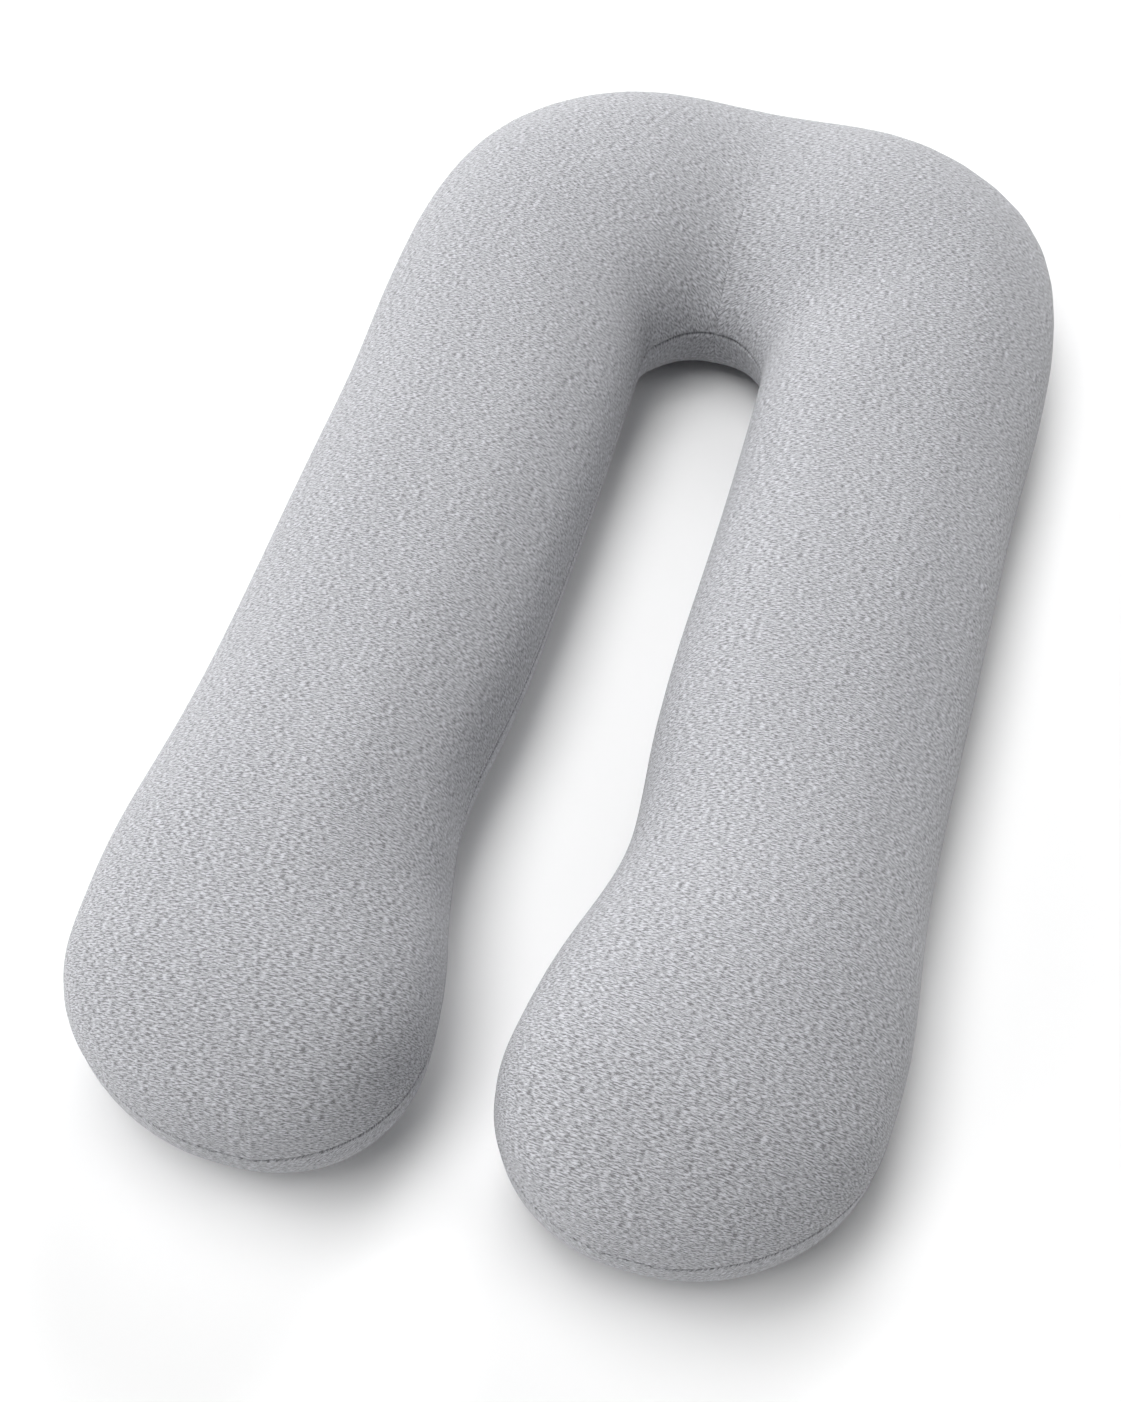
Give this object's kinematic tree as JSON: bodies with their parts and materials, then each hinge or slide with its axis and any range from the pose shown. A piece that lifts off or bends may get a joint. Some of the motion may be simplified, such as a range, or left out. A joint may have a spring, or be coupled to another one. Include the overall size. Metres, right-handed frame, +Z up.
{
  "type": "u-shaped body pillow",
  "caption": "U-shaped full-body pillow in heather jersey, with a wide head end, long legs that swell to rounded toes, and a seam all round.",
  "frame": {"origin": "centre of the bounding box in plan, on the surface that the pillow lies on", "axes": "+Z up, +Y from the toes to the head end, +X to the right as seen from the toes"},
  "size_m": [0.795, 1.49, 0.2158],
  "materials": {
    "jersey": "matt heather grey cotton jersey with light and dark flecks across the legs"
  },
  "bodies": {
    "root": {"pillow_body": "jersey"}
  },
  "joints": []
}
